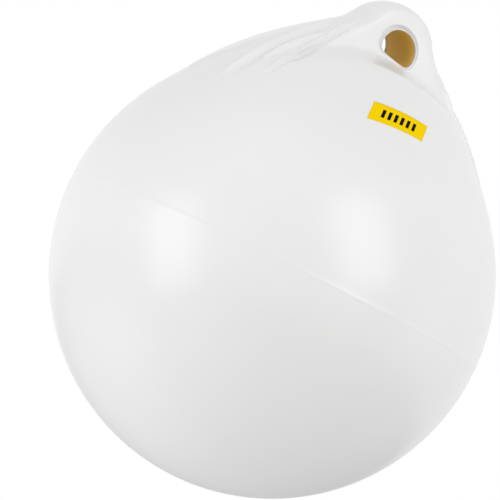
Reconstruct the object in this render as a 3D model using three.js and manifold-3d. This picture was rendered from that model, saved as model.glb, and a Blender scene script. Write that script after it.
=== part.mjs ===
import * as THREE from "three";
import { mergeVertices } from "three/addons/utils/BufferGeometryUtils.js";
import Module from "manifold-3d";

// Inflatable mooring buoy ball with a moulded rope eye. Millimetres, +Z up.
// The origin is the centre of the rope eye, whose axis is Y. The eye's lug is wide along X.

const wasm = await Module();
wasm.setup();

// Ball
const ballDiameter = 380;
const partingLineRise = 4;      // of the mould's parting line above the middle of the ball
const partingLineHeight = 0.7;
const partingLineWidth = 3;

// Rope eye and its lug
const eyeHeight = 217;          // from the middle of the ball to the eye's axis
const eyeBore = 35;             // clear diameter through the mouths
const lugRadius = 40.5;         // of the lug's rounded top, about the eye's axis
const lugThickness = 57;        // across the lug at the eye's axis
const lugDraft = 6;             // degrees, how far each flank leans in towards the top
const rimCrown = 1.25;          // depth over width of the round rim before the flanks are cut

// Side webs, which run from the ball up to the lug
const webStart = 58;            // degrees from the axis at which a web leaves the ball
const webTilt = 41.7;           // degrees from the axis to a web's outward normal
const webStand = 8.5;           // how far a web stands outside the ball's own tangent
const webReach = 57;            // from the axis to the place where a web turns up into the lug
const webTurn = 11;             // length of that turn's tangents
const lugShoulder = 62;         // degrees from the axis at which the lug's round top begins

// Front and back pockets, which leave the lug standing over a ledge
const shoulderAngle = 41;       // degrees from the axis at which the ball's front runs on straight to the ledge
const neckRounding = 12;
const ledgeRoot = 199.5;          // height of the ledge at the lug, above the middle of the ball
const ledgeSlope = 12;          // degrees, from the lug down to the ledge's crest
const ledgeFall = 85;           // how far the ledge would fall at one ball radius to the side
const ledgeRounding = 2.5;
const crestRounding = 7;
const webSpread = 38;           // how much thicker the webs would be at one ball radius to the side

// Folds of the webs, the same on each quarter of the neck. A fold's turns are in degrees from the
// middle of its web, where it starts and where it ends; a negative height makes a groove.
const foldStart = 118;          // heights above the middle of the ball
const foldEnd = 222;
const foldWidth = 3.4;          // half of a narrow fold's width
const folds = [
  { from: 8.5, to: 5.5, height: 1.7, broad: 1 },
  { from: 13, to: 13, height: -1.6, broad: 1 },
  { from: 18, to: 22, height: 0.9, broad: 1.4 },
  { from: 27.5, to: 22, height: 2, broad: 1 },
  { from: 31.5, to: 28, height: -1.4, broad: 1 },
];

// Mouths of the eye: a thin lip with a groove outside it, which is wider on one side of the lip
const mouthLip = 1;             // width of the lip
const mouthLipDrop = 1;         // from the lug's flank down to the lip
const mouthGroove = 2.6;        // mean width of the groove
const mouthGrooveShift = 1.6;   // of the groove to the side
const mouthGrooveBevel = 0.9;   // how much narrower the groove is at its bottom
const mouthDepth = 2;           // from the lug's flank down to the bottom of the groove
const mouthFlat = 10.4;         // from the eye's axis down to the flat side of each mouth, above the ledge
const mouthFlatLand = 3.1;      // width of the plain land on that side

// Liner of the eye, held in between the two lips. Its ends lean with the lug's flanks.
const linerWall = 2.6;
const linerPlay = 0.2;          // how much wider than the mouths the liner is, on the radius
const linerCover = 3;           // from the lug's flank down to the liner's end
const clearance = 0.3;

// Needle valve on the back shoulder
const valveAngle = 45;          // degrees from the axis
const valveBossDiameter = 30;
const valveBossHeight = 2;
const valveFlangeDiameter = 15;
const valveFlangeThickness = 2.2;
const valveStemDiameter = 9;
const valveLength = 16;
const valveChamfer = 0.5;
const valveBossRoot = 6;        // how deep the boss is rooted in the ball
const needleHole = 2;
const needleCone = 5;           // diameter of the funnel that leads the needle in

// Fineness of the surfaces
const webColumns = 14;          // from the middle of a web to the end of its folds
const faceColumns = 8;         // from there to the middle of the front or back
const webSector = 34;           // degrees from the middle of a web to the end of its folds
const ballRings = 15;
const neckRings = 27;
const neckLow = 36;             // degrees of latitude at which the rings of the neck begin
const outlineSteps = 200;
const eyeSegments = 48;
const valveSegments = 32;
const weldDistance = 1e-4;

const ballRadius = ballDiameter / 2;
const topHeight = eyeHeight + lugRadius;
const radians = THREE.MathUtils.degToRad;

// Where two lines meet, each given by its distance from the centre and its normal's angle from the axis
function meet(angleA, distanceA, angleB, distanceB) {
  const across = Math.sin(angleA - angleB);
  return new THREE.Vector2(
    (distanceA * Math.cos(angleB) - distanceB * Math.cos(angleA)) / across,
    (distanceB * Math.sin(angleA) - distanceA * Math.sin(angleB)) / across,
  );
}

function polar(angle, distance) {
  return new THREE.Vector2(distance * Math.sin(angle), distance * Math.cos(angle));
}

// Half of the front outline, from the bottom of the ball along a web to the top of the lug
function frontOutline() {
  const start = radians(webStart);
  const slope = radians(webTilt);
  const lug = radians(lugShoulder);
  const leave = polar(start, ballRadius);
  const corner = meet(start, ballRadius, slope, ballRadius + webStand);
  const up = new THREE.Vector2(-Math.cos(slope), Math.sin(slope));
  const join = corner.clone().addScaledVector(up, corner.distanceTo(leave));
  const turn = corner.clone().addScaledVector(up, (corner.x - webReach) / Math.cos(slope));
  const arrive = polar(lug, lugRadius).add(new THREE.Vector2(0, eyeHeight));
  const lugTangent = new THREE.Vector2(-Math.cos(lug), Math.sin(lug));
  const turnHandle = turn.clone().addScaledVector(up, webTurn);
  const lugHandle = arrive.clone().addScaledVector(lugTangent, -webTurn);
  const path = new THREE.Path();
  path.absarc(0, 0, ballRadius, -Math.PI / 2, Math.PI / 2 - start, false);
  path.quadraticCurveTo(corner.x, corner.y, join.x, join.y);
  path.lineTo(turn.x, turn.y);
  path.bezierCurveTo(turnHandle.x, turnHandle.y, lugHandle.x, lugHandle.y, arrive.x, arrive.y);
  path.absarc(0, eyeHeight, lugRadius, Math.PI / 2 - lug, Math.PI / 2, false);
  return path;
}

// Half of the side outline without the pockets, from the bottom of the ball up to the round rim
function sideOutline() {
  const shoulder = radians(shoulderAngle);
  const rimDepth = rimCrown * lugRadius;
  const start = polar(shoulder, ballRadius);
  const corner = new THREE.Vector2(
    rimDepth,
    (ballRadius - rimDepth * Math.sin(shoulder)) / Math.cos(shoulder),
  );
  const before = corner.clone().add(start.sub(corner).setLength(neckRounding));
  const path = new THREE.Path();
  path.absarc(0, 0, ballRadius, -Math.PI / 2, Math.PI / 2 - shoulder, false);
  path.lineTo(before.x, before.y);
  path.quadraticCurveTo(corner.x, corner.y, corner.x, corner.y + neckRounding);
  path.lineTo(rimDepth, eyeHeight);
  path.absellipse(0, eyeHeight, rimDepth, lugRadius, 0, Math.PI / 2, false, 0);
  return path;
}

// The half-width of an outline at a height above the middle of the ball
function widthLaw(outline) {
  const points = outline.getPoints(outlineSteps);
  return (height) => {
    const next = points.findIndex((p) => p.y >= height);
    if (next <= 0) return next < 0 ? 0 : points[0].x;
    const low = points[next - 1];
    const high = points[next];
    return THREE.MathUtils.mapLinear(height, low.y, high.y, low.x, high.x);
  };
}

const frontWidth = widthLaw(frontOutline());
const sideWidth = widthLaw(sideOutline());

// The smaller of two lengths, with a rounded changeover
function softLeast(a, b, rounding) {
  return (a + b - Math.hypot(a - b, rounding)) / 2;
}

// How far a pocket's wall stands from the middle plane: the lug's flank, and below it the ledge
function pocketWall(height, x) {
  const out = (x / ballRadius) ** 2;
  const lean = (eyeHeight - height) * Math.tan(radians(lugDraft));
  const belowLedge = -softLeast(0, height - ledgeRoot + ledgeFall * out, ledgeRounding);
  return lugThickness / 2 + lean + webSpread * out + belowLedge / Math.tan(radians(ledgeSlope));
}

// How far the folds lift the skin at a height, at an angle from the middle of a web
function foldLift(height, turn) {
  const along = (height - foldStart) / (foldEnd - foldStart);
  if (along <= 0 || along >= 1) return 0;
  return folds.reduce((lift, fold) => {
    const middle = radians(THREE.MathUtils.lerp(fold.from, fold.to, along));
    const across = (turn - middle) * sideWidth(height) / (foldWidth * fold.broad);
    return lift + fold.height * Math.sin(Math.PI * along) * Math.exp(-across * across);
  }, 0);
}

// A level section is an ellipse, cut front and back by the pockets. The folds stand along a web's normal.
function surfacePoint(height, turn) {
  const x = frontWidth(height) * Math.cos(turn);
  const y = sideWidth(height) * Math.sin(turn);
  const cut = softLeast(Math.abs(y), pocketWall(height, x), Math.min(crestRounding, Math.abs(y)));
  const lift = foldLift(height, Math.asin(Math.abs(Math.sin(turn))));
  return new THREE.Vector3(
    x + Math.sign(x) * lift * Math.sin(radians(webTilt)),
    Math.sign(y) * cut,
    height - eyeHeight + lift * Math.cos(radians(webTilt)),
  );
}

// Angles round the buoy: close together on the webs, wider apart on the front and back
function columns() {
  const quarter = [];
  for (let i = 0; i < webColumns; i++) quarter.push((i / webColumns) * webSector);
  for (let i = 0; i < faceColumns; i++) quarter.push(webSector + (i / faceColumns) * (90 - webSector));
  const back = quarter.map((turn) => 180 - turn).reverse();
  const half = [...quarter, 90, ...back.slice(0, -1)];
  return [...half, ...half.map((turn) => turn + 180)].map(radians);
}

function partingLine(height) {
  const away = Math.abs(height - partingLineRise) / (partingLineWidth / 2);
  return partingLineHeight * Math.max(0, 1 - away);
}

function levels() {
  const neckStart = ballRadius * Math.sin(radians(neckLow));
  const heights = [];
  for (let i = 1; i <= ballRings; i++) {
    const latitude = radians(THREE.MathUtils.lerp(-90, neckLow, i / ballRings));
    heights.push(ballRadius * Math.sin(latitude));
  }
  const line = [-partingLineWidth / 2, 0, partingLineWidth / 2].map((rise) => partingLineRise + rise);
  heights.push(...line);
  for (let i = 1; i < neckRings; i++) {
    const share = Math.sin((i / neckRings) * (Math.PI / 2));
    heights.push(THREE.MathUtils.lerp(neckStart, topHeight, share));
  }
  return heights.sort((a, b) => a - b);
}

function buoySkin() {
  const points = [new THREE.Vector3(0, 0, -ballRadius - eyeHeight)];
  const index = [];
  const rings = levels();
  const turns = columns();
  rings.forEach((height) => {
    const swell = 1 + partingLine(height) / ballRadius;
    turns.forEach((turn) => {
      points.push(surfacePoint(height, turn).multiply(new THREE.Vector3(swell, swell, 1)));
    });
  });
  points.push(new THREE.Vector3(0, 0, lugRadius));
  const last = points.length - 1;
  const at = (ring, k) => 1 + ring * turns.length + (k % turns.length);
  for (let k = 0; k < turns.length; k++) {
    index.push(0, at(0, k + 1), at(0, k));
    for (let ring = 0; ring < rings.length - 1; ring++) {
      const [a, b, c, d] = [at(ring, k), at(ring, k + 1), at(ring + 1, k + 1), at(ring + 1, k)];
      const rising = points[a].distanceTo(points[c]) < points[b].distanceTo(points[d]);
      index.push(...(rising ? [a, b, c, a, c, d] : [a, b, d, b, c, d]));
    }
    index.push(at(rings.length - 1, k), at(rings.length - 1, k + 1), last);
  }
  return new THREE.BufferGeometry().setFromPoints(points).setIndex(index);
}

// Solids for joins and cuts
function solid(geometry) {
  const bare = geometry.clone();
  bare.deleteAttribute("normal");
  bare.deleteAttribute("uv");
  const merged = mergeVertices(bare, weldDistance);
  return new wasm.Manifold(
    new wasm.Mesh({
      numProp: 3,
      vertProperties: new Float32Array(merged.attributes.position.array),
      triVerts: new Uint32Array(merged.index.array),
    }),
  );
}

function geometryOf(made) {
  const mesh = made.getMesh();
  const geometry = new THREE.BufferGeometry();
  geometry.setAttribute("position", new THREE.BufferAttribute(new Float32Array(mesh.vertProperties), 3));
  geometry.setIndex(new THREE.BufferAttribute(new Uint32Array(mesh.triVerts), 1));
  geometry.computeVertexNormals();
  return geometry;
}

// A turned form: the profile is a list of [radius, height] pairs
function turned(profile, segments) {
  return new THREE.LatheGeometry(profile.map(([r, h]) => new THREE.Vector2(r, h)), segments);
}

const linerInner = eyeBore / 2 + linerPlay;
const linerOuter = linerInner + linerWall;
const linerLength = lugThickness - 2 * linerCover;

// A form about the eye's axis whose ends lean in with the flanks towards the top
function leanEnds(geometry) {
  const place = geometry.attributes.position;
  for (let i = 0; i < place.count; i++) {
    const lean = place.getZ(i) * Math.tan(radians(lugDraft));
    place.setY(i, place.getY(i) - Math.sign(place.getY(i)) * lean);
  }
  return geometry;
}

// A round bar along Y with a flat on its lower side
function flatSidedBar(radius, drop, length) {
  const edge = Math.asin(drop / radius);
  const section = new THREE.Shape();
  section.absarc(0, 0, radius, -edge, Math.PI + edge, false);
  section.closePath();
  const options = { depth: length, bevelEnabled: false, curveSegments: eyeSegments };
  return new THREE.ExtrudeGeometry(section, options).rotateX(Math.PI / 2).translate(0, length / 2, 0);
}

// A round bar about the eye's axis, from a depth under the flanks to well outside the lug
function mouthBar(radius, depth, bevel = 0) {
  const flank = lugThickness / 2;
  const inner = flank - depth;
  const outside = flank + lugThickness;
  const profile = [[0, inner], [radius - bevel, inner], [radius, flank], [radius, outside], [0, outside]];
  return leanEnds(turned(profile, eyeSegments));
}

// One mouth's recess: the lip's drop, and round the lip the groove. It stops short of the flat side.
function mouthCutter() {
  const lipOuter = eyeBore / 2 + mouthLip;
  const grooveOuter = lipOuter + mouthGroove;
  const lip = solid(mouthBar(lipOuter, 2 * mouthDepth));
  const bowl = mouthBar(grooveOuter, mouthDepth, mouthGrooveBevel).translate(-mouthGrooveShift, 0, 0);
  const drop = solid(mouthBar(lipOuter, mouthLipDrop));
  const land = new THREE.BoxGeometry(4 * grooveOuter, 4 * lugThickness, grooveOuter);
  land.translate(0, 0, -mouthFlat - mouthFlatLand - grooveOuter / 2);
  return solid(bowl).subtract(lip).add(drop).subtract(solid(land));
}

// What the eye takes out of the lug: the liner's seat, the two mouths and their flat-sided bore
function eyeCutter() {
  const seatRadius = linerOuter + clearance;
  const seat = new THREE.CylinderGeometry(seatRadius, seatRadius, linerLength + 2 * clearance, eyeSegments);
  const bore = solid(flatSidedBar(eyeBore / 2, mouthFlat, 2 * lugThickness));
  const mouth = mouthCutter();
  return mouth.add(mouth.mirror([0, 1, 0])).add(solid(leanEnds(seat))).add(bore);
}

function eyeLiner() {
  const end = linerLength / 2;
  return leanEnds(turned(
    [[linerInner, -end], [linerOuter, -end], [linerOuter, end], [linerInner, end], [linerInner, -end]],
    eyeSegments,
  ));
}

const valvePlace = new THREE.Vector3(
  0,
  ballRadius * Math.sin(radians(valveAngle)),
  ballRadius * Math.cos(radians(valveAngle)) - eyeHeight,
);

function placeValve(geometry) {
  // LatheGeometry turns about Y, so Y is tipped to the ball's own normal
  geometry.rotateX(Math.PI / 2 - radians(valveAngle));
  return geometry.translate(valvePlace.x, valvePlace.y, valvePlace.z);
}

function valveBoss() {
  const r = valveBossDiameter / 2;
  const h = valveBossHeight;
  const skirt = r + h;
  return placeValve(turned(
    [
      [0, -valveBossRoot], [skirt, -valveBossRoot], [r, h - valveChamfer],
      [r - valveChamfer, h], [0, h],
    ],
    valveSegments,
  ));
}

function valveSeat() {
  const flange = valveFlangeDiameter / 2 + clearance;
  const stem = valveStemDiameter / 2 + clearance;
  const ledge = valveBossHeight - valveFlangeThickness - clearance;
  const floor = valveBossHeight - valveLength - clearance;
  return placeValve(turned(
    [[0, floor], [stem, floor], [stem, ledge], [flange, ledge], [flange, valveLength], [0, valveLength]],
    valveSegments,
  ));
}

function needleValve() {
  const top = valveBossHeight;
  const flange = valveFlangeDiameter / 2;
  const stem = valveStemDiameter / 2;
  const hole = needleHole / 2;
  return placeValve(turned(
    [
      [0, top - valveLength], [stem, top - valveLength], [stem, top - valveFlangeThickness],
      [flange, top - valveFlangeThickness], [flange, top - valveChamfer], [flange - valveChamfer, top],
      [needleCone / 2, top], [hole, top - needleCone / 2], [hole, top - valveLength / 2],
      [0, top - valveLength / 2],
    ],
    valveSegments,
  ));
}

function buoyShell() {
  const body = solid(buoySkin()).add(solid(valveBoss()));
  return geometryOf(body.subtract(eyeCutter()).subtract(solid(valveSeat())));
}

// Materials
const softVinyl = new THREE.MeshStandardMaterial({ color: "#ececea", roughness: 0.38, metalness: 0 });
const amberNylon = new THREE.MeshStandardMaterial({ color: "#c0903f", roughness: 0.3, metalness: 0 });
const blackRubber = new THREE.MeshStandardMaterial({ color: "#2a2a2b", roughness: 0.6, metalness: 0 });

function piece(name, geometry, material) {
  const mesh = new THREE.Mesh(geometry, material);
  mesh.name = name;
  return mesh;
}

const buoyBall = new THREE.Group();
buoyBall.add(piece("buoy_shell", buoyShell(), softVinyl));
buoyBall.add(piece("eye_liner", eyeLiner(), amberNylon));
buoyBall.add(piece("needle_valve", needleValve(), blackRubber));

export default buoyBall;
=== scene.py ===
import math
from bisect import bisect_left

import bmesh
import bpy
from mathutils import Matrix, Quaternion, Vector
from mathutils.geometry import interpolate_bezier


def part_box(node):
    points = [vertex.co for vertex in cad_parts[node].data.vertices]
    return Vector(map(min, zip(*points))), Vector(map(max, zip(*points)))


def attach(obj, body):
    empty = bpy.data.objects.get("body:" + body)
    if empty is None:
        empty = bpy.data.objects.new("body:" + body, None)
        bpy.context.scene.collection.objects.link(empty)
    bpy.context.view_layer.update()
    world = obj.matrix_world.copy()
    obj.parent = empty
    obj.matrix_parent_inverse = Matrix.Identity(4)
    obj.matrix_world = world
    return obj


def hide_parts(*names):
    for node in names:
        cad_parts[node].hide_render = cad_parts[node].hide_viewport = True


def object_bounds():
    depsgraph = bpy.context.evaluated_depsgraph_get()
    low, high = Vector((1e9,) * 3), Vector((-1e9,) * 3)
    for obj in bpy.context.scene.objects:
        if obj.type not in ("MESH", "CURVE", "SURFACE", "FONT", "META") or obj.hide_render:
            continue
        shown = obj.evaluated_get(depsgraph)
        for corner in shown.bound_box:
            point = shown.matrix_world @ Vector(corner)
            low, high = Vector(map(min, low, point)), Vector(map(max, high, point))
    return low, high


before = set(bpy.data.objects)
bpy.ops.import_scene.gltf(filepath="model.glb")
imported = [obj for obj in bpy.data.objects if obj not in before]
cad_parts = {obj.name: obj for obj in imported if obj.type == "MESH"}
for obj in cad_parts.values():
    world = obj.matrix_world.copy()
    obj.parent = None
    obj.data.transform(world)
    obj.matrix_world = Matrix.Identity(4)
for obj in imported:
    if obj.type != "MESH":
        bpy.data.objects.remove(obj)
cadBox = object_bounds()
print("frame loaded")

# Everything is modelled in millimetres, about the eye's centre, and scaled to metres when it is done.
millimetre = 0.001
boxOfShell = [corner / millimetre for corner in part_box("buoy_shell")]
boxOfLiner = [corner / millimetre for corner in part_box("eye_liner")]

# The moulding's form
# Heights run up from the middle of the ball, as in the solid that this skin stands for.
buoy = {
    "eyeHeight": 217,
    "lugRadius": boxOfShell[1].z,
    "lugThickness": 57,
    "lugDraft": 6,          # degrees
    "rimCrown": 1.25,
    "webStart": 58,         # degrees from the axis
    "webTilt": 41.7,
    "webStand": 8.5,
    "webReach": 57,
    "webTurn": 11,
    "lugShoulder": 62,
    "shoulderAngle": 41,
    "neckRounding": 12,
    "ledgeRoot": 203.7,
    "ledgeSlope": 17,
    "ledgeBend": (-4.2, -120, 108),     # its rise to the right, in powers of X over the ball's radius
    "ledgeLowest": 160,
    "ledgeRounding": 2.5,
    "crestRounding": 4,
    "webSpread": 38,
    "partingLineRise": 4,
    "partingLineHeight": 0.12,
    "partingLineWidth": 1.8,
}
buoy["ballRadius"] = -boxOfShell[0].z - buoy["eyeHeight"]

# How finely the skin is drawn: steps are in millimetres of height
fineness = {
    "around": 232,
    "crowding": 0.55,       # how much closer the meridians stand at the webs than at the front and back
    "ballRings": 72,
    "neckStart": 137,
    "neckStep": 1.4,
    "ledgeLow": 176,
    "ledgeHigh": 207,
    "ledgeStep": 0.6,
    "lugStep": 1.1,
    "capStart": 28,         # degrees from the axis, on the lug's round top
    "capRings": 18,
    "partingLine": (-1, -0.5, 0, 0.5, 1),       # its rings, in half widths from its middle
    "partingLineClear": 1.5,            # half widths from its middle within which no other ring lies
}

# In how many steps each stretch of the two outlines is drawn
outlineSteps = {"ball": 900, "corner": 120, "web": 200, "lug": 400, "rim": 600}


def polar(angle, distance):
    # A point of an outline, at an angle from the axis
    return Vector((distance * math.sin(angle), distance * math.cos(angle)))


def meet(angleA, distanceA, angleB, distanceB):
    # Where two lines cross, each given by its distance from the middle and the angle of its normal
    across = math.sin(angleA - angleB)
    return Vector((
        (distanceA * math.cos(angleB) - distanceB * math.cos(angleA)) / across,
        (distanceB * math.sin(angleA) - distanceA * math.sin(angleB)) / across,
    ))


def arc(centre, radiusX, radiusY, start, end, steps):
    turns = [start + (end - start) * i / steps for i in range(steps + 1)]
    return [centre + Vector((radiusX * math.sin(t), radiusY * math.cos(t))) for t in turns]


def quadratic(start, corner, end, steps):
    return interpolate_bezier(start, start.lerp(corner, 2 / 3), end.lerp(corner, 2 / 3), end, steps)


def quarterRound(first, steps):
    # The steps of a rounded edge as two shares of its radius: one grows from 0 to 1, the other shrinks to 0
    turns = [math.pi / 2 * i / steps for i in range(first, steps + 1)]
    return [(1 - math.cos(turn), 1 - math.sin(turn)) for turn in turns]


def frontOutline():
    # Half of the outline from the front: ball, web, lug
    start, slope, lug = (math.radians(buoy[k]) for k in ("webStart", "webTilt", "lugShoulder"))
    leave = polar(start, buoy["ballRadius"])
    corner = meet(start, buoy["ballRadius"], slope, buoy["ballRadius"] + buoy["webStand"])
    up = Vector((-math.cos(slope), math.sin(slope)))
    join = corner + up * (corner - leave).length
    turn = corner + up * (corner.x - buoy["webReach"]) / math.cos(slope)
    eye = Vector((0, buoy["eyeHeight"]))
    arrive = eye + polar(lug, buoy["lugRadius"])
    lugTangent = Vector((-math.cos(lug), math.sin(lug)))
    middle = Vector((0, 0))
    points = arc(middle, buoy["ballRadius"], buoy["ballRadius"], math.pi, start, outlineSteps["ball"])
    points += quadratic(leave, corner, join, outlineSteps["corner"])[1:]
    points += interpolate_bezier(
        turn, turn + up * buoy["webTurn"], arrive - lugTangent * buoy["webTurn"], arrive,
        outlineSteps["web"])
    points += arc(eye, buoy["lugRadius"], buoy["lugRadius"], lug, 0, outlineSteps["lug"])[1:]
    return points


def sideOutline():
    # Half of the outline from the side before the pockets are cut
    shoulder = math.radians(buoy["shoulderAngle"])
    rimDepth = buoy["rimCrown"] * buoy["lugRadius"]
    start = polar(shoulder, buoy["ballRadius"])
    corner = Vector((rimDepth, (buoy["ballRadius"] - rimDepth * math.sin(shoulder)) / math.cos(shoulder)))
    before = corner + (start - corner).normalized() * buoy["neckRounding"]
    eye = Vector((0, buoy["eyeHeight"]))
    middle = Vector((0, 0))
    points = arc(middle, buoy["ballRadius"], buoy["ballRadius"], math.pi, shoulder, outlineSteps["ball"])
    after = corner + Vector((0, buoy["neckRounding"]))
    points += quadratic(before, corner, after, outlineSteps["corner"])
    points += arc(eye, rimDepth, buoy["lugRadius"], math.pi / 2, 0, outlineSteps["rim"])
    return points


def widthLaw(points):
    # A function from height to an outline's half width
    heights = [p.y for p in points]

    def width(height):
        i = min(max(bisect_left(heights, height), 1), len(points) - 1)
        low, high = points[i - 1], points[i]
        return low.x + (high.x - low.x) * (height - low.y) / (high.y - low.y)

    return width


frontWidth = widthLaw(frontOutline())
sideWidth = widthLaw(sideOutline())


def softLeast(a, b, rounding):
    # The lesser of two values, rounded off where they are alike
    return (a + b - math.hypot(a - b, rounding)) / 2


def pocketWall(height, x):
    # How far a pocket's wall stands from the middle plane: the lug's flank, and below it the ledge
    share = x / buoy["ballRadius"]
    out = share ** 2
    lean = (buoy["eyeHeight"] - height) * math.tan(math.radians(buoy["lugDraft"]))
    bend = sum(rise * share ** (i + 1) for i, rise in enumerate(buoy["ledgeBend"]))
    ledge = -softLeast(-buoy["ledgeRoot"] - bend, -buoy["ledgeLowest"], 2 * buoy["crestRounding"])
    drop = height - ledge
    belowLedge = -softLeast(0, drop, buoy["ledgeRounding"])
    spread = buoy["webSpread"] * out
    slope = math.tan(math.radians(buoy["ledgeSlope"]))
    return buoy["lugThickness"] / 2 + lean + spread + belowLedge / slope


def toTheRight(x, y):
    # The pockets are alike, so each takes X as it runs to the right when one looks at its own side
    return x if y < 0 else -x


def surfacePoint(height, turn):
    # Where the skin passes at a height, on the meridian that has this turn from X
    x = frontWidth(height) * math.cos(turn)
    y = sideWidth(height) * math.sin(turn)
    wall = pocketWall(height, toTheRight(x, y))
    cut = softLeast(abs(y), wall, min(buoy["crestRounding"], abs(y)))
    return Vector((x, math.copysign(cut, y), height - buoy["eyeHeight"]))


def flankDepth(right, z):
    # How far the skin stands from the middle plane over a point of the lug's flank
    height = z + buoy["eyeHeight"]
    return -surfacePoint(height, -math.acos(max(-1, min(1, right / frontWidth(height))))).y


def ringHeights():
    # The heights of the skin's rings, from the top down
    radius = buoy["ballRadius"]
    lastLatitude = math.asin(fineness["neckStart"] / radius)
    heights = []
    for i in range(1, fineness["ballRings"] + 1):
        latitude = -math.pi / 2 + (lastLatitude + math.pi / 2) * i / fineness["ballRings"]
        heights.append(radius * math.sin(latitude))
    half = buoy["partingLineWidth"] / 2
    middle = buoy["partingLineRise"]
    heights = [h for h in heights if abs(h - middle) > half * fineness["partingLineClear"]]
    heights += [middle + half * share for share in fineness["partingLine"]]
    capStart = math.radians(fineness["capStart"])
    capLow = buoy["eyeHeight"] + buoy["lugRadius"] * math.cos(capStart)
    zones = (
        (fineness["neckStart"], fineness["ledgeLow"], fineness["neckStep"]),
        (fineness["ledgeLow"], fineness["ledgeHigh"], fineness["ledgeStep"]),
        (fineness["ledgeHigh"], capLow, fineness["lugStep"]),
    )
    for low, high, step in zones:
        count = round((high - low) / step)
        heights += [low + (high - low) * i / count for i in range(1, count + 1)]
    for i in range(1, fineness["capRings"]):
        angle = capStart * (1 - i / fineness["capRings"])
        heights.append(buoy["eyeHeight"] + buoy["lugRadius"] * math.cos(angle))
    return sorted(heights, reverse=True)


def mouldedSkin(bm):
    # A ball of rings and meridians, each point of which is set on the form's own law
    heights = ringHeights()
    levels = len(heights) + 1
    bmesh.ops.create_uvsphere(bm, u_segments=fineness["around"], v_segments=levels, radius=1)
    for v in bm.verts:
        ring = round(math.acos(max(-1, min(1, v.co.z))) / math.pi * levels)
        if ring in (0, levels):
            v.co = Vector((0, 0, buoy["lugRadius"] if ring == 0 else boxOfShell[0].z))
            continue
        height = heights[ring - 1]
        turn = math.atan2(v.co.y, v.co.x)
        turn -= fineness["crowding"] / 2 * math.sin(2 * turn)
        away = (height - buoy["partingLineRise"]) / (buoy["partingLineWidth"] / 2)
        swell = 1 + buoy["partingLineHeight"] / buoy["ballRadius"] * max(0, 1 - away * away)
        point = surfacePoint(height, turn)
        v.co = Vector((point.x * swell, point.y * swell, point.z))


# Round openings in the skin
edgeCatch = 2           # an open edge belongs to an opening up to this many times as far out as its border
relaxing = 0.5          # how far a point moves to the middle of its neighbours in one smoothing


def openPatch(bm, place, border, shape):
    # Takes out the faces inside a border round a place's Z axis, and draws the edge that is left on to it
    back = place.inverted()

    def lies(point):
        local = back @ point
        return math.atan2(local.x, local.y), math.hypot(local.x, local.y), local.z

    gone = []
    for face in bm.faces:
        angle, reach, depth = lies(face.calc_center_median())
        if depth > -border["below"] and reach < shape(angle, border["grow"])[0]:
            gone.append(face)
    bmesh.ops.delete(bm, geom=gone, context="FACES")
    loop = []
    for edge in bm.edges:
        if edge.is_boundary:
            angle, reach, depth = lies(edge.verts[0].co)
            if depth > -border["below"] and reach < edgeCatch * shape(angle, border["grow"])[0]:
                loop.append(edge)
    walk = walkLoop(loop)
    angles = [lies(v.co)[0] for v in walk]
    for i in range(1, len(angles)):
        angles[i] += math.tau * round((angles[i - 1] - angles[i]) / math.tau)
    whole = math.copysign(math.tau, angles[-1] - angles[0])
    for _ in range(border["evening"]):
        before = [angles[-1] - whole] + angles[:-1]
        after = angles[1:] + [angles[0] + whole]
        angles = [(a + 2 * b + c) / 4 for a, b, c in zip(before, angles, after)]
    for v, angle in zip(walk, angles):
        v.co = place @ polarPoint(angle, *shape(angle, border["grow"]))
    relaxBeside(bm, walk, border)
    return loop


def walkLoop(loop):
    # The points of a closed loop of edges, in order
    beside = {}
    for edge in loop:
        a, b = edge.verts
        beside.setdefault(a, []).append(b)
        beside.setdefault(b, []).append(a)
    walk = [loop[0].verts[0], loop[0].verts[1]]
    while len(walk) < len(beside):
        walk.append(next(v for v in beside[walk[-1]] if v is not walk[-2]))
    return walk


def relaxBeside(bm, walk, border):
    # Evens out the faces just outside an opening, without moving its edge or leaving the skin
    band = set(walk)
    for _ in range(border["relaxed"]):
        band |= {edge.other_vert(v) for v in list(band) for edge in v.link_edges}
    band = list(band - set(walk))
    for _ in range(border["relaxed"]):
        bmesh.ops.smooth_vert(
            bm, verts=band, factor=relaxing, use_axis_x=True, use_axis_y=True, use_axis_z=True)
        for v in band:
            v.co = border["onSkin"](v.co)


def polarPoint(angle, reach, depth):
    # A point in a place's own frame, at an angle from its Y axis
    return Vector((reach * math.sin(angle), reach * math.cos(angle), depth))


def nextRing(bm, loop, place, shape):
    # Grows a ring of faces from a loop of edges, each point keeping its angle round the place
    back = place.inverted()
    made = bmesh.ops.extrude_edge_only(bm, edges=loop)["geom"]
    ring = {g for g in made if isinstance(g, bmesh.types.BMVert)}
    for v in ring:
        local = back @ v.co
        angle = math.atan2(local.x, local.y)
        v.co = place @ polarPoint(angle, *shape(angle))
    return [g for g in made if isinstance(g, bmesh.types.BMEdge) and set(g.verts) <= ring]


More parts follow.
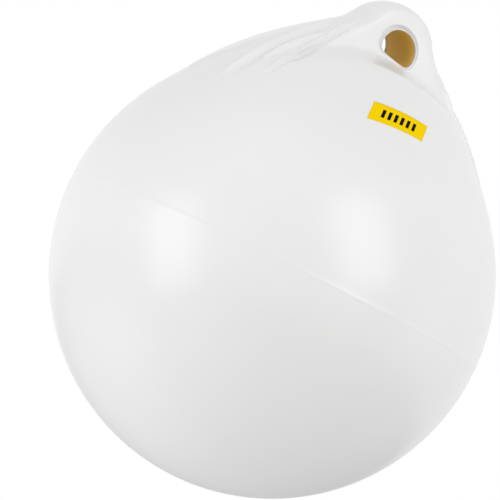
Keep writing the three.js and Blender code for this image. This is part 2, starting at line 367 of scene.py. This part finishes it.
# The eye's mouths: each has a thin lip, and outside it a groove that is wider on one side
mouth = {
    "bore": 35,
    "flat": 10.6,           # from the eye's axis down to the flat side
    "flatTilt": 8,          # degrees that the flat side falls to the right
    "flatLimit": 0.05,      # the least cosine that its reach is worked out with
    "flatShare": 0.65,      # how much of a ring's width shows on the flat side
    "land": 1.2,            # from the lip to the groove's edge on that side
    "corner": 6,
    "lip": 0.65,
    "lipDrop": 1.3,         # from the flank down to the lip where the groove is deepest
    "lipFaint": 0.3,        # its drop where there is no groove, as a share
    "lipEdge": 0.25,
    "groove": 2.9,
    "grooveShift": -1.6,    # of the groove along X
    "grooveEdge": 0.7,
    "grooveWide": 3.4,      # the width at which the groove has its full depth
    "grooveDeepest": 25,    # degrees to the right of its top, where it is deepest
    "grooveFaint": 0.4,     # its depth on the other side, as a share
    "depth": 5.5,
    "floorEnd": 0.92,       # how far across the groove its floor runs, as a share
    "floorSteep": 1.3,      # how many times sooner than its end the floor is at its full depth
    "border": 8,
    "bedGap": 0.15,
}

# How many rings of faces each part of a mouth takes
mouthSteps = {"border": 6, "grooveEdge": 4, "groove": 8, "lipEdge": 3}

# How far the lug's flanks lean in for each millimetre of height
draft = math.tan(math.radians(buoy["lugDraft"]))

# The liner is thinner at its two ends, where it lies inside the lips
liner = {
    "wall": 2.6,
    "neck": 6.5,            # length of each thin end
    "neckWall": 0.3,
    "edge": 0.3,
    "edgeSteps": 6,
    "short": 0.3,           # how far it ends behind the solid's own end
    "paintedEndHighlight": 2.2,         # length of the paler colour painted at each end as a highlight
    "segments": 128,
}
linerEnd = boxOfLiner[1].y - boxOfLiner[1].x * draft - liner["short"]
linerInner = boxOfLiner[1].x - liner["wall"]


def flatReach(angle, drop):
    # How far out a flat side lies that is this far below the eye's axis
    return drop / max(mouth["flatLimit"], -math.cos(angle - math.radians(mouth["flatTilt"])))


def lipReach(angle, grow):
    # How far out a line lies that runs a constant distance outside the bore
    flat = flatReach(angle, mouth["flat"] + mouth["flatShare"] * grow)
    return softLeast(mouth["bore"] / 2 + grow, flat, mouth["corner"])


def grooveReach(angle, grow, shift):
    # The same for the groove's outer edge, whose middle lies a little to the side
    radius = mouth["bore"] / 2 + mouth["lip"] + mouth["groove"] + grow
    aside = shift * math.sin(angle)
    rounded = aside + math.sqrt(radius ** 2 - shift ** 2 + aside ** 2)
    flat = flatReach(angle, mouth["flat"] + mouth["land"] + mouth["flatShare"] * grow)
    return softLeast(rounded, flat, mouth["corner"])


def grooveDepth(angle, shift):
    # The groove's depth as a share of its full one: it runs out where it is narrow
    width = grooveReach(angle, 0, shift) - lipReach(angle, mouth["lip"])
    turned = (1 + math.cos(angle - math.radians(mouth["grooveDeepest"]))) / 2
    faint = mouth["grooveFaint"]
    return min(1, max(0, width / mouth["grooveWide"])) * (faint + (1 - faint) * turned)


def onFlank(angle, reach, sink=0):
    # A point of the mouth in the eye's own place: reach from the axis, and how far out it stands
    return reach, flankDepth(reach * math.sin(angle), reach * math.cos(angle)) - sink


def setOnFlank(point):
    # Moves a point straight along Y on to the skin
    depth = flankDepth(toTheRight(point.x, point.y), point.z)
    return Vector((point.x, math.copysign(depth, point.y), point.z))


def mouthRings(shift):
    # The mouth's rings from outside in, each a function from angle to reach and height
    border, edge = mouth["border"], mouth["grooveEdge"]
    lip, lipEdge = mouth["lip"], mouth["lipEdge"]
    rings = []

    def lipSink(angle):
        faint = mouth["lipFaint"]
        return mouth["lipDrop"] * (faint + (1 - faint) * grooveDepth(angle, shift))

    def outside(grow, sink):
        rings.append(lambda angle: onFlank(
            angle, grooveReach(angle, grow, shift), sink * grooveDepth(angle, shift)))

    def across(share, sink):
        def ring(angle):
            reach = grooveReach(angle, 0, shift) * (1 - share) + lipReach(angle, lip) * share
            return onFlank(angle, reach, sink * grooveDepth(angle, shift))
        rings.append(ring)

    def onLip(grow, sink):
        rings.append(lambda angle: onFlank(angle, lipReach(angle, grow), lipSink(angle) + sink))

    for i in range(1, mouthSteps["border"] + 1):
        outside(border + (edge - border) * i / mouthSteps["border"], 0)
    for grown, left in quarterRound(1, mouthSteps["grooveEdge"]):
        outside(edge * left, edge * grown)
    for i in range(1, mouthSteps["groove"] + 1):
        share = i / mouthSteps["groove"]
        turn = math.pi / 2 * min(1, mouth["floorSteep"] * share)
        across(mouth["floorEnd"] * share, edge + (mouth["depth"] - edge) * math.sin(turn))
    for grown, left in quarterRound(0, mouthSteps["lipEdge"]):
        onLip(lip - lipEdge * grown, lipEdge * left)
    for grown, left in quarterRound(0, mouthSteps["lipEdge"]):
        onLip(lipEdge * left, lipEdge * grown)
    return rings


def cutEye(bm):
    # Cuts both mouths, and joins them by the bed that the liner lies in
    bed = linerEnd + mouth["bedGap"]
    bedRadius = boxOfLiner[1].x + mouth["bedGap"]
    neckRadius = linerInner + liner["neckWall"] + mouth["bedGap"]
    loops = []
    for side in (-1, 1):
        outward = Vector((0, side, 0))
        across = Vector((-side, 0, 0))
        shift = -side * mouth["grooveShift"]
        place = Matrix((across, Vector((0, 0, 1)), outward)).transposed().to_4x4()

        def borderShape(angle, grow):
            return onFlank(angle, grooveReach(angle, grow, shift))

        def inBed(angle, reach, inwards):
            return reach, bed - inwards - draft * reach * math.cos(angle)

        border = {"below": 0, "grow": mouth["border"], "evening": 60, "relaxed": 6, "onSkin": setOnFlank}
        loop = openPatch(bm, place, border, borderShape)
        for ring in mouthRings(shift):
            loop = nextRing(bm, loop, place, ring)
        loop = nextRing(bm, loop, place, lambda angle: inBed(angle, lipReach(angle, 0), 0))
        loop = nextRing(bm, loop, place, lambda angle: inBed(angle, neckRadius, 0))
        loop = nextRing(bm, loop, place, lambda angle: inBed(angle, neckRadius, liner["neck"]))
        loop = nextRing(bm, loop, place, lambda angle: inBed(angle, bedRadius, liner["neck"]))
        loops += loop
    bmesh.ops.bridge_loops(bm, edges=loops)


# The low boss that carries the needle valve, on the back shoulder
valve = {
    "angle": 45,            # degrees from the axis
    "bossDiameter": 30,
    "bossHeight": 2,
    "bossFoot": 2.5,
    "edge": 0.6,
    "flangeDiameter": 15,
    "flangeThickness": 2.2,
    "stemDiameter": 9,
    "length": 16,
    "hole": 2,
    "funnel": 5,
    "clearance": 0.3,
    "border": 24,
    "borderRings": 4,
    "flankRings": 9,
    "topRing": 1,           # from the boss's rim to the next ring on its top
    "edgeRings": 3,
}


def valvePlace():
    # The middle of the boss's foot, with its Z axis straight out of the ball
    lean = math.radians(valve["angle"])
    outward = Vector((0, math.sin(lean), math.cos(lean)))
    across = Vector((-1, 0, 0))
    turned = Matrix((across, outward.cross(across), outward)).transposed().to_4x4()
    return Matrix.Translation(outward * buoy["ballRadius"] - Vector((0, 0, buoy["eyeHeight"]))) @ turned


def setOnShoulder(point):
    # Moves a point straight out from the middle of the ball on to the skin
    middle = Vector((0, 0, -buoy["eyeHeight"]))
    direction = (point - middle).normalized()
    return middle + direction * skinReach(direction)


# Between which shares of the ball's radius the skin is looked for, and how often that range is halved
skinSearch = {"inside": 0.9, "outside": 1.3, "halvings": 24}


def skinReach(direction):
    # How far the skin is from the middle of the ball, in a direction near the front or back shoulder
    inside = skinSearch["inside"] * buoy["ballRadius"]
    outside = skinSearch["outside"] * buoy["ballRadius"]
    for _ in range(skinSearch["halvings"]):
        reach = (inside + outside) / 2
        point = direction * reach
        if abs(point.y) < flankDepth(toTheRight(point.x, point.y), point.z - buoy["eyeHeight"]):
            inside = reach
        else:
            outside = reach
    return inside


def onShoulder(angle, reach):
    # A point of the skin round the valve, in the valve's own place
    place = valvePlace()
    local = place.inverted() @ setOnShoulder(place @ polarPoint(angle, reach, 0))
    return math.hypot(local.x, local.y), local.z


def cutValveSeat(bm):
    place = valvePlace()
    top = valve["bossHeight"]
    boss = valve["bossDiameter"] / 2
    foot = boss + valve["bossFoot"]
    flange = valve["flangeDiameter"] / 2 + valve["clearance"]
    stem = valve["stemDiameter"] / 2 + valve["clearance"]
    seat = top - valve["flangeThickness"] - valve["clearance"]
    floor = top - valve["length"] - valve["clearance"]
    edge = valve["edge"]

    def onBossFlank(angle, reach, raised):
        return reach, onShoulder(angle, reach)[1] * (1 - raised) + top * raised

    border = {"below": 20, "grow": valve["border"], "evening": 60, "relaxed": 5, "onSkin": setOnShoulder}
    loop = openPatch(bm, place, border, onShoulder)
    for i in range(1, valve["borderRings"] + 1):
        reach = valve["border"] + (foot - valve["border"]) * i / valve["borderRings"]
        loop = nextRing(bm, loop, place, lambda angle: onShoulder(angle, reach))
    for i in range(1, valve["flankRings"]):
        share = i / valve["flankRings"]
        raised = share * share * (3 - 2 * share)
        reach = foot - valve["bossFoot"] * share
        loop = nextRing(bm, loop, place, lambda angle: onBossFlank(angle, reach, raised))
    rings = [(boss, top), (boss - valve["topRing"], top), (flange + edge, top)]
    for grown, left in quarterRound(1, valve["edgeRings"]):
        rings.append((flange + edge * left, top - edge * grown))
    rings += [(flange, seat), (stem, seat), (stem, floor)]
    for ring in rings:
        loop = nextRing(bm, loop, place, lambda angle: ring)
    bmesh.ops.holes_fill(bm, edges=loop, sides=0)


# Folds of the web
# Each runs in plan from start to end, over the front of the web towards -X, and is mirrored on the other
# three quarters. A positive bow bends it towards the middle plane, and a positive beside puts its groove on
# that side of its ridge.
folds = [
    {
        "start": (-142, -32), "end": (-54, 0), "bow": -0.8, "ridge": 3.6, "width": 1.8,
        "groove": -3.6, "grooveWidth": 2.3, "beside": -7.6,
    },
    {
        "start": (-119, -57), "end": (-47, -19), "bow": -0.5, "ridge": 3.4, "width": 1.7,
        "groove": -2.4, "grooveWidth": 1.7, "beside": -3.9,
    },
    {
        "start": (-116, -34), "end": (-58, -24.5), "bow": 1, "ridge": 2.4, "width": 3.4,
        "groove": -1, "grooveWidth": 2.5, "beside": -5.5,
    },
    {
        "start": (-110, -14), "end": (-58, 1), "bow": 0, "ridge": 0.5, "width": 1.5,
        "groove": -3, "grooveWidth": 1.7, "beside": -0.5,
    },
]

# Where a fold can be, and how an edge is cut that runs round the skin there
foldZone = {
    "low": 100,             # height above the middle of the ball
    "aside": 45,            # distance from the axis along X
    "reach": 11,            # distance from the fold's line
    "level": 0.01,          # the most that such an edge rises
    "cuts": 3,
}


def foldPlace(fold, x, y):
    # How far along a fold a point lies in plan, as a share, and how far to the side of it
    start, end = Vector(fold["start"]), Vector(fold["end"])
    run = end - start
    out = Vector((x, y)) - start
    along = out.dot(run) / run.length_squared
    across = out.dot(Vector((-run.y, run.x)).normalized())
    return along, across - fold["bow"] * math.sin(math.pi * along)


def foldHeight(x, y):
    # How far the folds lift the skin at a place in plan
    total = 0
    for fold in folds:
        along, across = foldPlace(fold, x, y)
        if 0 < along < 1:
            swell = math.sqrt(math.sin(math.pi * along))
            total += swell * fold["ridge"] * math.exp(-(across / fold["width"]) ** 2)
            away = (across - fold["beside"]) / fold["grooveWidth"]
            total += swell * fold["groove"] * math.exp(-away ** 2)
    return total


def nearFold(point):
    if point.z + buoy["eyeHeight"] < foldZone["low"] or abs(point.x) < foldZone["aside"]:
        return False
    places = (foldPlace(fold, -abs(point.x), -abs(point.y)) for fold in folds)
    return any(0 < along < 1 and abs(across) < foldZone["reach"] for along, across in places)


def raiseFolds(bm):
    # The faces that carry a fold are made finer first, across the folds
    across = []
    for edge in bm.edges:
        a, b = (v.co for v in edge.verts)
        if abs(a.z - b.z) < foldZone["level"] and nearFold(a) and nearFold(b):
            across.append(edge)
    bmesh.ops.subdivide_edges(bm, edges=across, cuts=foldZone["cuts"], use_grid_fill=True)
    bm.normal_update()
    lifts = []
    for v in bm.verts:
        if nearFold(v.co):
            lifts.append((v, v.normal * foldHeight(-abs(v.co.x), -abs(v.co.y))))
    for v, lift in lifts:
        v.co += lift


# Making objects
weldDistance = 1e-4     # millimetres


def finished(bm, name, materials):
    # Scales a mesh to metres and hands it over with its faces pointing out
    bmesh.ops.recalc_face_normals(bm, faces=bm.faces[:])
    bmesh.ops.scale(bm, vec=(millimetre,) * 3, verts=bm.verts[:])
    mesh = bpy.data.meshes.new(name)
    bm.to_mesh(mesh)
    bm.free()
    for polygon in mesh.polygons:
        polygon.use_smooth = True
    for material in materials:
        mesh.materials.append(material)
    piece = bpy.data.objects.new(name, mesh)
    bpy.context.scene.collection.objects.link(piece)
    return piece


def spun(profile, place, segments):
    # Turns a profile of (radius, height) points once round a place's Z axis
    bm = bmesh.new()
    verts = [bm.verts.new((radius, 0, height)) for radius, height in profile]
    edges = [bm.edges.new(pair) for pair in zip(verts, verts[1:])]
    bmesh.ops.spin(
        bm, geom=verts + edges, cent=(0, 0, 0), axis=(0, 0, 1), dvec=(0, 0, 0),
        angle=math.tau, steps=segments, use_merge=True, use_duplicate=False)
    bmesh.ops.remove_doubles(bm, verts=bm.verts[:], dist=weldDistance)
    bmesh.ops.transform(bm, matrix=place, verts=bm.verts[:])
    return bm


# Materials
def linear(hexColour):
    # An sRGB colour in the linear values that a shader takes
    parts = [int(hexColour[i:i + 2], 16) / 255 for i in (1, 3, 5)]
    return tuple(c / 12.92 if c <= 0.04045 else ((c + 0.055) / 1.055) ** 2.4 for c in parts) + (1,)


def addNode(owner, kind, settings=None, inputs=None):
    # Adds a node to a material or a world, and gives each input a value or joins it to another node's socket
    tree = owner.node_tree
    node = tree.nodes.new(kind)
    for name, value in (settings or {}).items():
        setattr(node, name, value)
    for name, value in (inputs or {}).items():
        if isinstance(value, bpy.types.NodeSocket):
            tree.links.new(value, node.inputs[name])
        else:
            node.inputs[name].default_value = value
    return node


# A colour mix's sockets go by number, because its sockets for other kinds of value have the same names
mixFactor, mixFirst, mixSecond, mixResult = 0, 6, 7, 2


def newMaterial(name):
    material = bpy.data.materials.new(name)
    material.use_nodes = True
    material.node_tree.nodes.clear()
    return material


def perMillimetre(size):
    # The scale of a noise whose grain is this many millimetres wide
    return 1 / (size * millimetre)


def finishMaterial(material, shader):
    addNode(material, "ShaderNodeOutputMaterial", inputs={"Surface": shader.outputs[0]})
    return material


def softVinyl():
    # Soft PVC, blown in a polished mould: an even satin skin with a trace of unevenness in its gloss
    material = newMaterial("soft_pvc_moulded")
    where = addNode(material, "ShaderNodeTexCoord").outputs["Object"]
    cloudy = addNode(material, "ShaderNodeTexNoise", inputs={
        "Vector": where, "Scale": perMillimetre(70), "Detail": 2.0})
    patchy = addNode(material, "ShaderNodeTexNoise", inputs={
        "Vector": where, "Scale": perMillimetre(22), "Detail": 3.0})
    peel = addNode(material, "ShaderNodeTexNoise", inputs={
        "Vector": where, "Scale": perMillimetre(1.6), "Detail": 2.0})
    colour = addNode(material, "ShaderNodeMix", {"data_type": "RGBA"}, {
        mixFactor: cloudy.outputs[0], mixFirst: linear("#ececec"), mixSecond: linear("#efefee")})
    rough = addNode(material, "ShaderNodeMapRange", inputs={
        "Value": patchy.outputs[0], "From Min": 0.2, "From Max": 0.8, "To Min": 0.277, "To Max": 0.297})
    bump = addNode(material, "ShaderNodeBump", inputs={
        "Strength": 0.12, "Distance": 0.00004, "Height": peel.outputs[0]})
    shader = addNode(material, "ShaderNodeBsdfPrincipled", inputs={
        "Base Color": colour.outputs[mixResult],
        "Roughness": rough.outputs[0],
        "IOR": 1.53,
        "Normal": bump.outputs[0],
    })
    return finishMaterial(material, shader)


def amberNylon():
    # Extruded nylon tube, amber brown and smooth, with fine lines along it; a paler colour is painted at its
    # cut ends as a highlight, for the light that they catch
    material = newMaterial("amber_nylon_extruded")
    where = addNode(material, "ShaderNodeTexCoord").outputs["Object"]
    stretched = addNode(material, "ShaderNodeMapping", inputs={"Vector": where, "Scale": (1, 0.06, 1)})
    lines = addNode(material, "ShaderNodeTexNoise", inputs={
        "Vector": stretched.outputs[0], "Scale": perMillimetre(2.5), "Detail": 3.0})
    parts = addNode(material, "ShaderNodeSeparateXYZ", inputs={"Vector": where})
    out = addNode(material, "ShaderNodeMath", {"operation": "ABSOLUTE"}, {0: parts.outputs["Y"]})
    along = addNode(material, "ShaderNodeMath", {"operation": "MULTIPLY_ADD"}, {
        0: parts.outputs["Z"], 1: draft, 2: out.outputs[0]})
    # Painted highlight: the colour turns paler towards each cut end, standing in for the light that catches
    # the ends
    paintedHighlight = addNode(material, "ShaderNodeMapRange", inputs={
        "Value": along.outputs[0],
        "From Min": linerEnd * millimetre - liner["paintedEndHighlight"] * millimetre,
        "From Max": linerEnd * millimetre,
        "To Min": 0.0,
        "To Max": 1.0,
    })
    base = addNode(material, "ShaderNodeMix", {"data_type": "RGBA"}, {
        mixFactor: lines.outputs[0], mixFirst: linear("#ecca60"), mixSecond: linear("#f2d268")})
    colour = addNode(material, "ShaderNodeMix", {"data_type": "RGBA"}, {
        mixFactor: paintedHighlight.outputs[0], mixFirst: base.outputs[mixResult], mixSecond: linear("#e0b866")})
    bump = addNode(material, "ShaderNodeBump", inputs={
        "Strength": 0.3, "Distance": 0.00006, "Height": lines.outputs[0]})
    shader = addNode(material, "ShaderNodeBsdfPrincipled", inputs={
        "Base Color": colour.outputs[mixResult],
        "Roughness": 0.42,
        "IOR": 1.53,
        "Specular IOR Level": 0.12,
        "Normal": bump.outputs[0],
    })
    return finishMaterial(material, shader)


def blackRubber():
    # Moulded rubber: matt, with a fine grain that scatters what little it reflects
    material = newMaterial("black_rubber_moulded")
    where = addNode(material, "ShaderNodeTexCoord").outputs["Object"]
    grain = addNode(material, "ShaderNodeTexNoise", inputs={
        "Vector": where, "Scale": perMillimetre(0.5), "Detail": 3.0})
    colour = addNode(material, "ShaderNodeMix", {"data_type": "RGBA"}, {
        mixFactor: grain.outputs[0], mixFirst: linear("#242425"), mixSecond: linear("#303031")})
    rough = addNode(material, "ShaderNodeMapRange", inputs={
        "Value": grain.outputs[0], "From Min": 0.3, "From Max": 0.7, "To Min": 0.55, "To Max": 0.68})
    bump = addNode(material, "ShaderNodeBump", inputs={
        "Strength": 0.4, "Distance": 0.00005, "Height": grain.outputs[0]})
    shader = addNode(material, "ShaderNodeBsdfPrincipled", inputs={
        "Base Color": colour.outputs[mixResult],
        "Roughness": rough.outputs[0],
        "IOR": 1.52,
        "Normal": bump.outputs[0],
    })
    return finishMaterial(material, shader)


def printedInk(name, pale, deep):
    # Screen-printed vinyl ink: an even flat colour, more matt than the moulding
    material = newMaterial(name)
    where = addNode(material, "ShaderNodeTexCoord").outputs["Object"]
    grain = addNode(material, "ShaderNodeTexNoise", inputs={
        "Vector": where, "Scale": perMillimetre(3), "Detail": 2.0})
    colour = addNode(material, "ShaderNodeMix", {"data_type": "RGBA"}, {
        mixFactor: grain.outputs[0], mixFirst: linear(pale), mixSecond: linear(deep)})
    rough = addNode(material, "ShaderNodeMapRange", inputs={
        "Value": grain.outputs[0], "From Min": 0.3, "From Max": 0.7, "To Min": 0.5, "To Max": 0.58})
    shader = addNode(material, "ShaderNodeBsdfPrincipled", inputs={
        "Base Color": colour.outputs[mixResult],
        "Roughness": rough.outputs[0],
        "IOR": 1.5,
        "Specular IOR Level": 0.02,
    })
    return finishMaterial(material, shader)


# The pieces
def moulding():
    bm = bmesh.new()
    mouldedSkin(bm)
    cutEye(bm)
    cutValveSeat(bm)
    raiseFolds(bm)
    print("moulding:", len(bm.faces), "faces,", sum(len(f.verts) - 2 for f in bm.faces), "triangles,",
          len([e for e in bm.edges if not e.is_manifold]), "open edges")
    piece = finished(bm, "buoy_moulding", [softVinyl()])
    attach(piece, "root")
    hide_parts("buoy_shell")


def eyeTube():
    outer = boxOfLiner[1].x
    neck = linerInner + liner["neckWall"]
    shoulder = linerEnd - liner["neck"]
    edge = liner["edge"]
    profile = []
    for grown, left in quarterRound(0, liner["edgeSteps"]):
        profile.append((linerInner + edge * grown, linerEnd - edge * left))
    profile += [(neck, linerEnd), (neck, shoulder), (outer, shoulder)]
    profile += [(radius, -height) for radius, height in reversed(profile)]
    lying = Matrix.Rotation(math.pi / 2, 4, "X")
    bm = spun(profile + profile[:1], lying, liner["segments"])
    for v in bm.verts:      # both ends lean in with the lug's flanks
        v.co.y -= math.copysign(draft * v.co.z, v.co.y)
    piece = finished(bm, "eye_tube", [amberNylon()])
    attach(piece, "root")
    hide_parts("eye_liner")


# The plug's small forms: its main lengths stand with the valve's seat
plug = {
    "stemChamfer": 0.8,
    "flangeTaper": 0.3,
    "rounding": 0.5,
    "roundingSteps": 4,
    "sunkRing": ((2.2, 0), (2.6, 0.35), (3.2, 0.35), (3.6, 0)),     # how far in from its rim, and how deep
    "funnelEdge": (0.4, 0.25),          # its width and its depth
    "holeDepth": 8,
    "holePoint": 8.4,
    "segments": 96,
}


def valvePlug():
    top = valve["bossHeight"]
    bottom = top - valve["length"]
    flange = valve["flangeDiameter"] / 2
    stem = valve["stemDiameter"] / 2
    under = top - valve["flangeThickness"]
    chamfer, rounding = plug["stemChamfer"], plug["rounding"]
    profile = [(0, bottom), (stem - chamfer, bottom), (stem, bottom + chamfer)]
    profile += [(stem, under), (flange - plug["flangeTaper"], under)]
    for grown, left in quarterRound(0, plug["roundingSteps"]):
        profile.append((flange - rounding * grown, top - rounding * left))
    profile += [(flange - inwards, top - down) for inwards, down in plug["sunkRing"]]
    funnel = valve["funnel"] / 2
    hole = valve["hole"] / 2
    edgeWidth, edgeDepth = plug["funnelEdge"]
    profile += [(funnel + edgeWidth, top), (funnel, top - edgeDepth), (hole, top - funnel)]
    profile += [(hole, top - plug["holeDepth"]), (0, top - plug["holePoint"])]
    bm = spun(profile, valvePlace(), plug["segments"])
    piece = finished(bm, "valve_plug", [blackRubber()])
    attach(piece, "root")
    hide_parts("needle_valve")


# A printed patch of colour on the front shoulder, with a plain row of slanted bars on it
patch = {
    "turn": -8.7,           # degrees from the front towards +X
    "latitude": 53.3,       # degrees above the middle of the ball
    "length": 54,
    "height": 24.5,
    "tilt": 8,              # degrees in its own plane
    "slant": 22,            # degrees that its ends lean
    "proud": 0.12,
    "thickness": 0.1,
    "bars": 6,
    "barPitch": 6,
    "barWidth": 3.2,
    "barHeight": 11,
    "grid": (36, 16),       # faces along and across it
    "cutTolerance": 1e-5,
}


def printedPatch():
    bm = bmesh.new()
    columns, rows = patch["grid"]
    bmesh.ops.create_grid(bm, x_segments=columns, y_segments=rows, size=0.5)
    bmesh.ops.scale(bm, vec=(patch["length"], patch["height"], 1), verts=bm.verts[:])
    halfWidth, halfHeight = patch["barWidth"] / 2, patch["barHeight"] / 2
    barPlaces = [(i - (patch["bars"] - 1) / 2) * patch["barPitch"] for i in range(patch["bars"])]
    cuts = [((x + side * halfWidth, 0, 0), (1, 0, 0)) for x in barPlaces for side in (-1, 1)]
    cuts += [((0, side * halfHeight, 0), (0, 1, 0)) for side in (-1, 1)]
    for point, normal in cuts:
        everything = bm.verts[:] + bm.edges[:] + bm.faces[:]
        bmesh.ops.bisect_plane(
            bm, geom=everything, plane_co=point, plane_no=normal, dist=patch["cutTolerance"])
    for face in bm.faces:
        middle = face.calc_center_median()
        onBar = any(abs(middle.x - x) < halfWidth for x in barPlaces)
        face.material_index = 1 if onBar and abs(middle.y) < halfHeight else 0
    made = bmesh.ops.extrude_face_region(bm, geom=bm.faces[:])["geom"]
    back = [g for g in made if isinstance(g, bmesh.types.BMVert)]
    bmesh.ops.translate(bm, vec=(0, 0, -patch["thickness"]), verts=back)
    # Slanted, turned in its plane, and wrapped round the ball
    slant = math.tan(math.radians(patch["slant"]))
    tilt = Matrix.Rotation(math.radians(patch["tilt"]), 3, "Z")
    east = math.radians(patch["turn"])
    north = math.radians(patch["latitude"])
    out = Vector((math.sin(east) * math.cos(north), -math.cos(east) * math.cos(north), math.sin(north)))
    right = Vector((math.cos(east), math.sin(east), 0))
    up = out.cross(right)
    middle = Vector((0, 0, -buoy["eyeHeight"]))
    for v in bm.verts:
        flat = tilt @ Vector((v.co.x + slant * v.co.y, v.co.y, 0))
        reach = flat.length / buoy["ballRadius"]
        if reach:
            away = (right * flat.x + up * flat.y).normalized()
            direction = out * math.cos(reach) + away * math.sin(reach)
        else:
            direction = out
        v.co = middle + direction * (skinReach(direction) + patch["proud"] + v.co.z)
    yellow = printedInk("vinyl_ink_yellow", "#ffda00", "#fdd500")
    black = printedInk("vinyl_ink_black", "#080808", "#0e0e0e")
    piece = finished(bm, "printed_patch", [yellow, black])
    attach(piece, "root")


moulding()
eyeTube()
valvePlug()
printedPatch()
print("pieces made")

# Camera, light and floor
shot = {
    "azimuth": -28,         # degrees
    "elevation": -2.8,
    "roll": 26,
    "distance": 2000,
    "ballPixels": 223.6,    # the ball's radius in the 500-pixel frame
    "ballAt": (272, 275),   # where its middle lies there
    "frame": 500,
    "sensor": 36,
    "farthest": 50,         # metres that the camera sees
}
ballMiddle = Vector((0, 0, -buoy["eyeHeight"])) * millimetre


def makeCamera():
    turn, rise = math.radians(shot["azimuth"]), math.radians(shot["elevation"])
    toCamera = Vector((math.sin(turn) * math.cos(rise), -math.cos(turn) * math.cos(rise), math.sin(rise)))
    distance = shot["distance"]
    focal = shot["ballPixels"] * math.sqrt(distance ** 2 - buoy["ballRadius"] ** 2) / buoy["ballRadius"]
    half = shot["frame"] / 2
    ball = Vector(((shot["ballAt"][0] - half) / focal, (half - shot["ballAt"][1]) / focal, -1))
    aimed = (-toCamera).to_track_quat("-Z", "Y") @ Quaternion((0, 0, 1), math.radians(shot["roll"]))
    aside = Vector((0, 0, -1)).rotation_difference(ball.normalized())
    data = bpy.data.cameras.new("camera")
    data.sensor_width = shot["sensor"]
    data.lens = focal * shot["sensor"] / shot["frame"]
    data.clip_end = shot["farthest"]
    camera = bpy.data.objects.new("camera", data)
    camera.location = ballMiddle + toCamera * distance * millimetre
    camera.rotation_mode = "QUATERNION"
    camera.rotation_quaternion = aimed @ aside.inverted()
    bpy.context.scene.collection.objects.link(camera)
    bpy.context.scene.camera = camera
    return camera


# Two softboxes stand where their glow on the ball shows them, and four panels fill in from the sides, below
# and above. Each direction is from the ball to the lamp: right, up and towards the camera in its view.
# A level is the lamp's light on a face turned to it.
lamps = [
    {
        "name": "left_softbox", "towards": (-0.754, 0.24, 0.609),
        "distance": 2.1, "size": (0.95, 1.5), "level": 0.27,
    },
    {
        "name": "right_softbox", "towards": (0.681, 0.262, 0.683),
        "distance": 2.1, "size": (1.0, 1.6), "level": 0.303,
    },
    {
        "name": "left_panel", "towards": (-0.9, -0.38, 0.1),
        "distance": 1.6, "size": (0.8, 0.8), "level": 0.182,
    },
    {
        "name": "right_panel", "towards": (0.92, -0.3, 0.1),
        "distance": 1.8, "size": (0.8, 0.8), "level": 0.127,
    },
    {
        "name": "low_panel", "towards": (-0.4, -0.9, 0),
        "distance": 1.1, "size": (0.8, 0.8), "level": 0.035,
    },
    {
        "name": "top_panel", "towards": (-0.15, 0.86, 0.46),
        "distance": 1.8, "size": (1.0, 1.0), "level": 0.094,
    },
]


def makeLamp(lamp, camera):
    data = bpy.data.lights.new(lamp["name"], "AREA")
    data.shape = "RECTANGLE"
    data.size, data.size_y = lamp["size"]
    data.energy = lamp["level"] * (math.pi * lamp["distance"]) ** 2
    body = bpy.data.objects.new(lamp["name"], data)
    towards = camera.rotation_quaternion @ Vector(lamp["towards"]).normalized()
    body.location = ballMiddle + towards * lamp["distance"]
    body.rotation_mode = "QUATERNION"
    upright = (-towards).to_track_quat("-Z", "Y")
    body.rotation_quaternion = upright @ Quaternion((0, 0, 1), math.radians(shot["roll"]))
    body.visible_glossy = lamp["name"].endswith("softbox")
    bpy.context.scene.collection.objects.link(body)


studioLevel = 0.53


def makeWorld():
    # An even white studio: white behind the object and in what it mirrors, and a plain level of light on it
    world = bpy.data.worlds.new("white_studio")
    bpy.context.scene.world = world
    world.use_nodes = True
    world.node_tree.nodes.clear()
    path = addNode(world, "ShaderNodeLightPath")
    seen = path.outputs["Is Camera Ray"]
    for ray in ("Is Glossy Ray", "Is Transmission Ray"):
        either = addNode(world, "ShaderNodeMath", {"operation": "MAXIMUM"}, {0: seen, 1: path.outputs[ray]})
        seen = either.outputs[0]
    level = addNode(world, "ShaderNodeMapRange", inputs={
        "Value": seen, "To Min": studioLevel, "To Max": 1.0})
    background = addNode(world, "ShaderNodeBackground", inputs={
        "Color": (1, 1, 1, 1), "Strength": level.outputs[0]})
    addNode(world, "ShaderNodeOutputWorld", inputs={"Surface": background.outputs[0]})


floorValues = {"below": 1.3, "size": 12, "glow": 0.8}


def makeFloor():
    # A plain white floor under the hanging buoy
    bm = bmesh.new()
    bmesh.ops.create_grid(bm, x_segments=2, y_segments=2, size=floorValues["size"] / 2)
    bmesh.ops.translate(bm, vec=(0, 0, cadBox[0][2] - floorValues["below"]), verts=bm.verts[:])
    mesh = bpy.data.meshes.new("studio_floor")
    bm.to_mesh(mesh)
    bm.free()
    material = newMaterial("floor_paper")
    matt = addNode(material, "ShaderNodeBsdfDiffuse", inputs={"Color": linear("#f2f2f2")})
    glow = addNode(material, "ShaderNodeEmission", inputs={"Strength": 1.0})
    lit = addNode(material, "ShaderNodeMixShader", inputs={
        0: floorValues["glow"], 1: matt.outputs[0], 2: glow.outputs[0]})
    path = addNode(material, "ShaderNodeLightPath")
    floorShader = addNode(material, "ShaderNodeMixShader", inputs={
        0: path.outputs["Is Camera Ray"], 1: matt.outputs[0], 2: lit.outputs[0]})
    mesh.materials.append(finishMaterial(material, floorShader))
    floor = bpy.data.objects.new("studio_floor", mesh)
    bpy.context.scene.collection.objects.link(floor)


bpy.context.scene.view_settings.view_transform = "Standard"
camera = makeCamera()
for lamp in lamps:
    makeLamp(lamp, camera)
makeWorld()
makeFloor()
print("camera, light and floor set")
